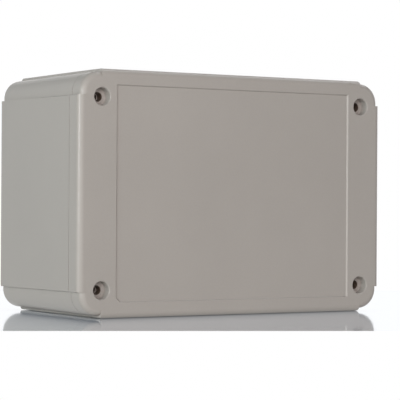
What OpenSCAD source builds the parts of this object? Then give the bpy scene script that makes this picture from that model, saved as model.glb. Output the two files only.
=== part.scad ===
// Two-part moulded electronics enclosure, standing on one of its long sides.
// Millimetres. Origin in the middle of the footprint, Z up, lid facing -Y.
// The mouldings are drawn lying on their backs, lid upwards, and stood up at the end.

/* [Overall size] */
// Width along the long side of the lid
body_w = 150; // [120:1:200]
// Height as it stands on a long side
body_h = 100; // [80:1:140]
// Depth from the face of the lid to the back
body_d = 71; // [50:1:110]

/* [Corner columns] */
// Distance of each lid screw from the left or right side
screw_side = 10.6; // [9.5:0.1:13]
// Distance of each lid screw from the top or bottom side
screw_end = 11.3; // [9.5:0.1:13]
// How far the flat sides stand proud of the rounded corners
side_step = 1.2; // [0.8:0.1:1.6]
// Radius of the rounded corners
corner_r = 8.4; // [7.6:0.1:9.4]
// Length of flat side given up to each corner
corner_len = 10.6; // [10:0.1:11.2]
// Rounding at the ends of the flat sides
step_round = 0.6; // [0.4:0.1:1]
// Radius of a column on the inside of the case, about its screw
column_in_r = 7.5; // [7:0.1:9]

/* [Walls] */
// Thickness of the four side walls
wall = 3.4; // [3:0.1:5]
// Thickness of the back
back_t = 3; // [2:0.1:5]
// How far each side of the base leans in from the parting line to the back
draft = 0.5; // [0.2:0.1:1]
// Rounding of the edge round the back
back_edge_r = 2; // [0.5:0.1:3]

/* [Lid] */
// Depth of the lid from its face to the parting line
lid_depth = 7.9; // [7:0.1:12]
// Rounding of the edge round the face
lid_edge_r = 2.5; // [1:0.1:3]
// Thickness of the lid behind its raised rim
lid_plate = 3.6; // [3:0.1:5]
// Depth of the recessed panel
recess_depth = 0.6; // [0.4:0.1:1.4]
// Rim left of and right of the recessed panel
recess_side = 17.2; // [16:0.1:24]
// Rim above and below the recessed panel
recess_end = 6.2; // [5:0.1:12]
// How far the walls of the recessed panel lean outwards
recess_lean = 0.5; // [0.2:0.1:1.2]
// Cut across the lower left corner of the recessed panel
recess_cut = 2.1; // [1:0.1:6]

/* [Seal] */
// Thickness of the tongue round the rim of the base
tongue_t = 1.8; // [1.4:0.1:1.9]
// Height of the tongue above the parting line
tongue_h = 3.2; // [2:0.1:4]
// Thickness of the gasket above the tongue
gasket_t = 1.6; // [0.8:0.1:2]
// Thickness of the lip of the lid inside the tongue
lip_t = 1.2; // [0.8:0.1:2]
// Play between the tongue and its groove on each side
fit_gap = 0.25; // [0.1:0.05:0.4]
// Width of the parting line between the two mouldings
seam_gap = 0.3; // [0.05:0.05:0.4]

/* [Lid screws] */
// Clearance hole for a lid screw
screw_hole_d = 3.8; // [3.6:0.1:4.8]
// Counterbore for the head of a lid screw
bore_d = 7.2; // [6.8:0.1:8.4]
// Depth of the counterbore
bore_depth = 4.2; // [3:0.1:5]
// Broken edge at the mouth of the counterbore
bore_break = 0.3; // [0.1:0.05:0.6]
// Raised pad on a column that the lid rests on
pad_d = 10; // [8:0.1:11]
// Hole in a column that the thread of a lid screw cuts into
pilot_d = 2.9; // [2.6:0.1:3.2]
// Depth of that hole
pilot_depth = 18; // [12:1:30]

/* [Inside and back] */
// Outside of a board standoff
standoff_d = 7; // [6:0.5:10]
// Height of a board standoff above the back
standoff_h = 6; // [3:0.5:15]
// Screw hole in a board standoff
standoff_hole_d = 2.8; // [2.2:0.1:3.4]
// Depth of that hole
standoff_hole_depth = 6.5; // [3:0.5:7]
// Distance of the standoffs from the left and right sides
standoff_side = 30; // [24:0.5:45]
// Distance of the standoffs from the top and bottom sides
standoff_end = 24; // [12:0.5:32]
// Screw hole in the back behind each column
rear_hole_d = 3.4; // [2.8:0.1:4]
// Depth of that hole
rear_hole_depth = 14; // [8:0.5:18]

/* [Hidden] */
$fn = 96;
over = 1;
screw_x = body_w / 2 - screw_side;
screw_y = body_h / 2 - screw_end;
corner_x = body_w / 2 - side_step - corner_r;
corner_y = body_h / 2 - side_step - corner_r;
flat_w = body_w - 2 * corner_len;
flat_h = body_h - 2 * corner_len;
seam_w = body_d - lid_depth;
rim_w = seam_w - seam_gap;
groove_depth = tongue_h + gasket_t;
standoff_x = body_w / 2 - standoff_side;
standoff_y = body_h / 2 - standoff_end;
standoff_top = back_t + standoff_h;
recess_x = body_w / 2 - recess_side;
recess_y = body_h / 2 - recess_end;
recess_diag = (recess_x + recess_y - recess_cut) / sqrt(2);
housing_grey = "#a8a49c";

// Stands a moulding drawn on its back up on its long side
module stood_up() {
  translate([0, body_d / 2, body_h / 2])
    rotate([90, 0, 0])
      children();
}

// Repeats a shape at the four lid screws, mirrored into each corner
module at_screws() {
  for (mx = [0, 1], my = [0, 1])
    mirror([mx, 0, 0])
      mirror([0, my, 0])
        translate([screw_x, screw_y, 0])
          children();
}

// Repeats a round shape at four places, x and y out from the middle
module at_four(x, y) {
  for (sx = [-1, 1], sy = [-1, 1])
    translate([sx * x, sy * y, 0])
      children();
}

// Rectangle with four round corners
module round_rect(w, h, r) {
  square([w, h - 2 * r], center = true);
  square([w - 2 * r, h], center = true);
  at_four(w / 2 - r, h / 2 - r)
    circle(r = r);
}

// Section standing on its lower side, sides leaning in and its two upper corners round
module edge_section(w, h, r, lean) {
  top_x = w / 2 - lean;
  polygon([[-w / 2, 0], [w / 2, 0], [top_x, h - r], [-top_x, h - r]]);
  translate([r - top_x, 0])
    square([2 * (top_x - r), h]);
  for (sx = [-1, 1])
    translate([sx * (top_x - r), h - r])
      circle(r = r);
}

// Half section of a rounded corner, side leaning in and its upper edge round
module corner_section(h, r, lean) {
  top_x = corner_r - lean;
  polygon([[0, 0], [corner_r, 0], [top_x, h - r], [0, h - r]]);
  square([top_x - r, h]);
  translate([top_x - r, h - r])
    circle(r = r);
}

// The outer form with its proud sides and set-back corners, upper edge round
module outer_form(h, r, lean) {
  intersection() {
    linear_extrude(h)
      round_rect(body_w, flat_h, step_round);
    rotate([90, 0, 0])
      linear_extrude(body_h, center = true)
        edge_section(body_w, h, r, lean);
  }
  intersection() {
    linear_extrude(h)
      round_rect(flat_w, body_h, step_round);
    rotate([90, 0, 90])
      linear_extrude(body_w, center = true)
        edge_section(body_h, h, r, lean);
  }
  at_four(corner_x, corner_y)
    rotate_extrude()
      corner_section(h, r, lean);
}

// What a corner column takes from the inside of the case
module column_notch(r) {
  circle(r = r);
  translate([-r, 0])
    square([r + screw_side, screw_end]);
  translate([0, -r])
    square([screw_side, r + screw_end]);
}

// Plan of the inside of the case, made larger all round by grow
module inside_plan(grow) {
  difference() {
    square([body_w - 2 * wall + 2 * grow, body_h - 2 * wall + 2 * grow], center = true);
    at_screws()
      column_notch(column_in_r - grow);
  }
}

// Plan of the groove that takes the tongue and the gasket
module groove_plan() {
  difference() {
    inside_plan(tongue_t + fit_gap);
    inside_plan(-fit_gap);
  }
}

// Section through the recessed panel, half width a at the face
module recess_section(a, b) {
  polygon([
    [recess_lean - a, body_d - recess_depth],
    [b - recess_lean, body_d - recess_depth],
    [b, body_d],
    [b, body_d + over],
    [-a, body_d + over],
    [-a, body_d]
  ]);
}

// The recessed panel as a solid to take away
module recess() {
  intersection() {
    rotate([90, 0, 0])
      linear_extrude(body_h, center = true)
        recess_section(recess_x, recess_x);
    rotate([90, 0, 90])
      linear_extrude(body_w, center = true)
        recess_section(recess_y, recess_y);
    rotate([90, 0, 45])
      linear_extrude(body_w + body_h, center = true)
        recess_section(recess_diag, body_w);
  }
}

module base() {
  color(housing_grey)
    stood_up()
      difference() {
        union() {
          difference() {
            union() {
              translate([0, 0, rim_w])
                mirror([0, 0, 1])
                  outer_form(rim_w, back_edge_r, draft);
              translate([0, 0, back_t])
                linear_extrude(seam_w + tongue_h - back_t)
                  inside_plan(tongue_t);
              at_screws()
                translate([0, 0, back_t])
                  cylinder(d = pad_d, h = seam_w - back_t);
            }
            translate([0, 0, back_t])
              linear_extrude(body_d)
                inside_plan(0);
          }
          at_four(standoff_x, standoff_y)
            translate([0, 0, back_t / 2])
              cylinder(d = standoff_d, h = standoff_top - back_t / 2);
        }
        at_four(standoff_x, standoff_y)
          translate([0, 0, standoff_top - standoff_hole_depth])
            cylinder(d = standoff_hole_d, h = standoff_hole_depth + over);
        at_screws() {
          translate([0, 0, seam_w - pilot_depth])
            cylinder(d = pilot_d, h = pilot_depth + over);
          translate([0, 0, -over])
            cylinder(d = rear_hole_d, h = rear_hole_depth + over);
        }
      }
}

module lid() {
  color(housing_grey)
    stood_up()
      difference() {
        translate([0, 0, seam_w])
          outer_form(lid_depth, lid_edge_r, 0);
        translate([0, 0, seam_w - over])
          linear_extrude(groove_depth + over)
            groove_plan();
        translate([0, 0, seam_w - over])
          linear_extrude(lid_depth - lid_plate + over)
            inside_plan(-fit_gap - lip_t);
        recess();
        at_screws() {
          translate([0, 0, seam_w - over])
            cylinder(d = screw_hole_d, h = lid_depth + over);
          translate([0, 0, body_d - bore_depth])
            cylinder(d = bore_d, h = bore_depth + over);
          translate([0, 0, body_d - bore_break])
            cylinder(d1 = bore_d, d2 = bore_d + 4 * bore_break, h = 2 * bore_break);
        }
      }
}

module gasket() {
  color("#2c2c2e")
    stood_up()
      translate([0, 0, seam_w + tongue_h])
        linear_extrude(gasket_t)
          groove_plan();
}

base();
lid();
gasket();
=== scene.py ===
"""Looks for the moulded electronics enclosure: materials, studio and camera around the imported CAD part."""
import math

import bpy
from mathutils import Matrix, Vector

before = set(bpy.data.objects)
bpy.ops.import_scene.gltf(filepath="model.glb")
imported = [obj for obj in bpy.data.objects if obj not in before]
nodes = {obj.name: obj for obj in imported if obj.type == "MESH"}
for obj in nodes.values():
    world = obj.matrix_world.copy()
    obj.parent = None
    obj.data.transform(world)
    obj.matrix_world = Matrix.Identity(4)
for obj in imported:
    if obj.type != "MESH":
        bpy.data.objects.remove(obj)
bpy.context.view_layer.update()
scene = bpy.context.scene


def grey(v):
    return (v, v, v)


# Places on the part in metres: its middle, a lid screw as seen from there, and the radii of the
# screw's hole in the lid and of its pilot hole in the base
MIDDLE = (0.0, 0.0, 0.05)
SCREW = (0.0644, 0.0, 0.0387)
LID_HOLE_R = 0.0019
PILOT_HOLE_R = 0.00145

# Housing plastic. A ramp is a list of positions and colours, and HOLE_WALL is where the wall of a screw hole
# lies on the ramp of its painted shade
DRIFT = {"Scale": 22.0, "Detail": 3.0, "Roughness": 0.55}
GRAIN = {"Scale": 1900.0, "Detail": 2.0, "Roughness": 0.6}
TONE = [(0.30, (0.352, 0.327, 0.299)), (0.70, (0.372, 0.346, 0.317))]
SPECK = [(0.25, grey(0.965)), (0.75, grey(1.0))]
DULLNESS = [(0.25, grey(0.38)), (0.75, grey(0.44))]
HOLE_WALL = 0.5
# Painted shade for the screw holes: brownish dark at the hole wall, white past it
PAINTED_HOLE_SHADE = [(1.01 * HOLE_WALL, (0.33, 0.27, 0.22)), (1.045 * HOLE_WALL, grey(1.0))]
GRAIN_BUMP = {"Strength": 0.10, "Distance": 0.00012}
PLASTIC_GLOSS = {"Specular IOR Level": 0.35, "Coat Weight": 0.4, "Coat Roughness": 0.14}

# Seal rubber
CELLS = {"Scale": 1400.0}
CELL_TONE = [(0.0, grey(0.012)), (0.8, grey(0.032))]
CELL_DULLNESS = [(0.0, grey(0.9)), (0.8, grey(0.72))]
CELL_BUMP = {"Strength": 0.35, "Distance": 0.0002}

# Camera, solved from the photograph's edges and screw places
YAW = math.radians(32.435)
PITCH = math.radians(0.182)
ROLL = math.radians(-0.34)
EYE = Vector((-0.43394, -0.68984, 0.04524))
FOCAL_PX = 1883.2
FRAME_PX = 400.0
SENSOR_MM = 36.0
CLIP = (0.01, 100.0)

# Floor. It leans about half as much as the side of the case that stands on it, because that puts the
# reflection where the photograph has it, and it meets the case at STAND, on the rim of the base.
# The glossy strip lies between two rows of the photograph's frame
FLOOR_RISE = 0.00028
FLOOR_RUN = 0.0608
STAND = Vector((0.0, -0.0273, 0.0))
UP = Vector((0.0, -FLOOR_RISE / FLOOR_RUN, 1.0)).normalized()
FAR = 30.0
NEAR_ROW = 331.0
BACK_ROW = 290.0
GLOSSY_FACE = 1

# What the floor shows. FOOT is half the footprint, and the two reaches say how far past it the floor carries
# a painted shadow: in the light that it gives to the case, and to the eye
FOOT = (0.064, 0.033, 10.0)
# Painted shade in the floor's light to the case, near the footprint
GLOW_REACH = (0.0115, 0.003, 1.0)
GLOW_SHADE = [(0.0, grey(0.05)), (0.5, grey(0.85)), (1.0, grey(1.0))]
# Painted contact shadow on the floor, as the eye sees it
CONTACT_REACH = (0.015, 0.015, 1.0)
CONTACT_SHADE = [(0.0, grey(0.35)), (0.4, grey(0.8)), (1.0, grey(1.0))]
GLOW = (0.30, 0.30, 0.29, 1.0)
WHITE = (1.0, 1.0, 1.0, 1.0)
VEIL = (0.66, 0.79, 0.96, 1.0)
VEIL_STRENGTH = 1.2
MIRROR_SHARE = 0.9
MIRROR_ROUGHNESS = 0.07
FACING_BLEND = 0.5
GRAZING = [(0.80, grey(0.0)), (0.93, grey(1.0))]

# Brightness of the world in reflections, by height
SKY = [(0.42, grey(1.0)), (0.52, grey(0.2))]

# Sizes of the soft boxes
PANEL = (0.8, 0.8)
STRIP = (0.2, 0.5)


# Node helpers. A value is a socket to link or a constant to set
def feed(tree, value, socket):
    if isinstance(value, bpy.types.NodeSocket):
        tree.links.new(value, socket)
    else:
        socket.default_value = value


def add(tree, kind, inputs=None, **settings):
    n = tree.nodes.new(kind)
    for key, value in settings.items():
        setattr(n, key, value)
    for key, value in (inputs or {}).items():
        feed(tree, value, n.inputs[key])
    return n


def coordinates(tree, kind):
    return add(tree, "ShaderNodeTexCoord").outputs[kind]


def vector_math(tree, operation, *values):
    n = add(tree, "ShaderNodeVectorMath", dict(enumerate(values)), operation=operation)
    return n.outputs["Value" if operation == "LENGTH" else "Vector"]


def ramp(tree, value, stops):
    n = add(tree, "ShaderNodeValToRGB", {"Fac": value})
    elements = n.color_ramp.elements
    while len(elements) < len(stops):
        elements.new(0.5)
    for element, (position, colour) in zip(elements, stops):
        element.position = position
        element.color = (*colour, 1.0)
    return n.outputs["Color"]


def mix_colours(tree, share, first, second, way="MIX"):
    values = {"Factor": share, "A": first, "B": second}
    return add(tree, "ShaderNodeMix", values, data_type="RGBA", blend_type=way).outputs["Result"]


def multiply(tree, first, second):
    return mix_colours(tree, 1.0, first, second, "MULTIPLY")


def mix_shaders(tree, share, first, second):
    return add(tree, "ShaderNodeMixShader", {"Fac": share, 1: first, 2: second}).outputs["Shader"]


def emission(tree, colour, strength=1.0):
    return add(tree, "ShaderNodeEmission", {"Color": colour, "Strength": strength}).outputs["Emission"]


def background(tree, colour, strength=1.0):
    return add(tree, "ShaderNodeBackground", {"Color": colour, "Strength": strength}).outputs["Background"]


def new_material(name):
    mat = bpy.data.materials.new(name)
    mat.use_nodes = True
    mat.node_tree.nodes.clear()
    return mat, mat.node_tree


# A plain surface with colour, roughness and bump from its nodes
def finish_surface(tree, colour, roughness, height, bump, gloss):
    normal = add(tree, "ShaderNodeBump", {**bump, "Height": height}).outputs["Normal"]
    values = {"Base Color": colour, "Roughness": roughness, "Normal": normal, **gloss}
    surface = add(tree, "ShaderNodeBsdfPrincipled", values).outputs["BSDF"]
    add(tree, "ShaderNodeOutputMaterial", {"Surface": surface})


# Painted shade: dark inside the four screw holes of radius hole_r, white elsewhere
def painted_hole_shade(tree, at, hole_r):
    place = vector_math(tree, "SUBTRACT", at, MIDDLE)
    side = vector_math(tree, "ABSOLUTE", place)
    off = vector_math(tree, "SUBTRACT", side, SCREW)
    scale = HOLE_WALL / hole_r
    share = vector_math(tree, "MULTIPLY", off, (scale, 0.0, scale))
    return ramp(tree, vector_math(tree, "LENGTH", share), PAINTED_HOLE_SHADE)


# Moulded housing plastic: fine spark texture, faint mould flow and tone drift.
# The walls of the screw holes carry painted shade, darker than this light alone would leave them
def housing_plastic(name, hole_r):
    mat, t = new_material(name)
    at = coordinates(t, "Object")
    drift = add(t, "ShaderNodeTexNoise", {"Vector": at, **DRIFT}).outputs["Fac"]
    grain = add(t, "ShaderNodeTexNoise", {"Vector": at, **GRAIN}).outputs["Fac"]
    plain = multiply(t, ramp(t, drift, TONE), ramp(t, grain, SPECK))
    # Painted shade darkens the plastic inside the screw holes
    colour = multiply(t, plain, painted_hole_shade(t, at, hole_r))
    finish_surface(t, colour, ramp(t, drift, DULLNESS), grain, GRAIN_BUMP, PLASTIC_GLOSS)
    return mat


# Cellular rubber of the seal
def seal_rubber(name):
    mat, t = new_material(name)
    at = coordinates(t, "Object")
    cells = add(t, "ShaderNodeTexVoronoi", {"Vector": at, **CELLS}).outputs["Distance"]
    finish_surface(t, ramp(t, cells, CELL_TONE), ramp(t, cells, CELL_DULLNESS), cells, CELL_BUMP, {})
    return mat


def dress(node, mat):
    data = nodes[node].data
    data.materials.clear()
    data.materials.append(mat)


dress("base", housing_plastic("base_plastic", PILOT_HOLE_R))
dress("lid", housing_plastic("lid_plastic", LID_HOLE_R))
dress("gasket", seal_rubber("seal_rubber"))

# Camera
fwd = Vector((math.sin(YAW) * math.cos(PITCH), math.cos(YAW) * math.cos(PITCH), math.sin(PITCH)))
right = Vector((math.cos(YAW), -math.sin(YAW), 0.0))
down = fwd.cross(right)
across = math.cos(ROLL) * right + math.sin(ROLL) * down
below = -math.sin(ROLL) * right + math.cos(ROLL) * down
cam_data = bpy.data.cameras.new("camera")
cam_data.sensor_width = SENSOR_MM
cam_data.lens = SENSOR_MM * FOCAL_PX / FRAME_PX
cam_data.clip_start, cam_data.clip_end = CLIP
cam = bpy.data.objects.new("camera", cam_data)
scene.collection.objects.link(cam)
cam.matrix_world = Matrix.Translation(EYE) @ Matrix((across, -below, -fwd)).transposed().to_4x4()
scene.camera = cam


# The point of the floor that shows at a place in the frame
def on_floor(column, row):
    middle = FRAME_PX / 2
    ray = fwd + across * ((column - middle) / FOCAL_PX) + below * ((row - middle) / FOCAL_PX)
    return EYE + ray * ((STAND - EYE).dot(UP) / ray.dot(UP))


# Floor: three faces, one behind the other, the middle one glossy
left_end = on_floor(0.0, NEAR_ROW)
right_end = on_floor(FRAME_PX, NEAR_ROW)
along = (right_end - left_end).normalized()
away = UP.cross(along)
strip = (on_floor(FRAME_PX / 2, BACK_ROW) - left_end).dot(away)
ends = [left_end - along * FAR, right_end + along * FAR]
corners = [tuple(end + away * d) for d in (-FAR, 0.0, strip, FAR) for end in ends]
faces = [(k, k + 1, k + 3, k + 2) for k in (0, 2, 4)]
floor_mesh = bpy.data.meshes.new("floor")
floor_mesh.from_pydata(corners, [], faces)
floor = bpy.data.objects.new("floor", floor_mesh)
scene.collection.objects.link(floor)


# Painted shadow: dark at the footprint, white once past it by the reach
def painted_foot_shadow(tree, at, reach, stops):
    size = vector_math(tree, "ABSOLUTE", at)
    past = vector_math(tree, "SUBTRACT", size, FOOT)
    gap = vector_math(tree, "MAXIMUM", past)
    share = vector_math(tree, "DIVIDE", gap, reach)
    return ramp(tree, vector_math(tree, "LENGTH", share), stops)


# White to the eye with a painted contact shadow, with a glossy layer at grazing angles where wanted, and its
# own light for the case, which carries painted shade near the footprint
def floor_material(name, glossy):
    mat, t = new_material(name)
    path = add(t, "ShaderNodeLightPath").outputs
    at = coordinates(t, "Object")
    sort = mix_colours(t, path["Is Glossy Ray"], GLOW, WHITE)
    # The floor's light to the case, with painted shade near the footprint
    glow = emission(t, multiply(t, sort, painted_foot_shadow(t, at, GLOW_REACH, GLOW_SHADE)))
    # Painted contact shadow that the eye sees on the floor around the case
    painted_contact_shadow = painted_foot_shadow(t, at, CONTACT_REACH, CONTACT_SHADE)
    shown = emission(t, painted_contact_shadow)
    if glossy:
        # The tint under the mirror carries the same painted contact shadow
        haze = emission(t, multiply(t, VEIL, painted_contact_shadow), VEIL_STRENGTH)
        gloss = {"Color": WHITE, "Roughness": MIRROR_ROUGHNESS}
        mirror = add(t, "ShaderNodeBsdfGlossy", gloss).outputs["BSDF"]
        sheen = mix_shaders(t, MIRROR_SHARE, haze, mirror)
        facing = add(t, "ShaderNodeLayerWeight", {"Blend": FACING_BLEND}).outputs["Facing"]
        shown = mix_shaders(t, ramp(t, facing, GRAZING), shown, sheen)
    surface = mix_shaders(t, path["Is Camera Ray"], glow, shown)
    add(t, "ShaderNodeOutputMaterial", {"Surface": surface})
    return mat


floor_mesh.materials.append(floor_material("floor_white", False))
floor_mesh.materials.append(floor_material("floor_gloss", True))
floor_mesh.polygons[GLOSSY_FACE].material_index = 1

# World: white to the eye, reflections white low down and dim overhead, no light to anything else
world = bpy.data.worlds.new("studio")
world.use_nodes = True
scene.world = world
tree = world.node_tree
tree.nodes.clear()
path = add(tree, "ShaderNodeLightPath").outputs
axes = add(tree, "ShaderNodeSeparateXYZ", {"Vector": coordinates(tree, "Generated")})
wall = background(tree, ramp(tree, axes.outputs["Z"], SKY))
unlit = background(tree, WHITE, 0.0)
unseen = mix_shaders(tree, path["Is Glossy Ray"], unlit, wall)
studio = mix_shaders(tree, path["Is Camera Ray"], unseen, background(tree, WHITE))
add(tree, "ShaderNodeOutputWorld", {"Surface": studio})


# Soft boxes, turned to the middle of the part. Reflections show a box if it is seen, and other
# surfaces get its light if it lights
def soft_box(name, place, size, watts, colour, seen=True, lights=True):
    data = bpy.data.lights.new(name, "AREA")
    data.shape = "RECTANGLE"
    data.size, data.size_y = size
    data.energy = watts
    data.color = colour
    box = bpy.data.objects.new(name, data)
    turn = (Vector(MIDDLE) - Vector(place)).to_track_quat("-Z", "Y")
    box.matrix_world = Matrix.Translation(place) @ turn.to_matrix().to_4x4()
    box.visible_glossy = seen
    box.visible_diffuse = lights
    scene.collection.objects.link(box)


soft_box("back_box", (0.75, 0.85, 0.75), PANEL, 18.0, (1.0, 0.98, 0.95), seen=False)
soft_box("left_box", (-1.1215, -0.6475, 0.1633), PANEL, 14.5, (0.845, 0.980, 1.0), seen=False)
soft_box("front_box", (-0.6475, -1.1215, 0.1633), PANEL, 15.0, (1.0, 0.893, 0.895), seen=False)
soft_box("glint_box", (-1.2364, -0.4017, 0.15), STRIP, 5.8, (1.0, 0.97, 1.0), lights=False)
soft_box("top_box", (0.6889, 0.0, 1.1525), PANEL, 4.35, (0.961, 0.971, 1.0))

scene.view_settings.view_transform = "Standard"
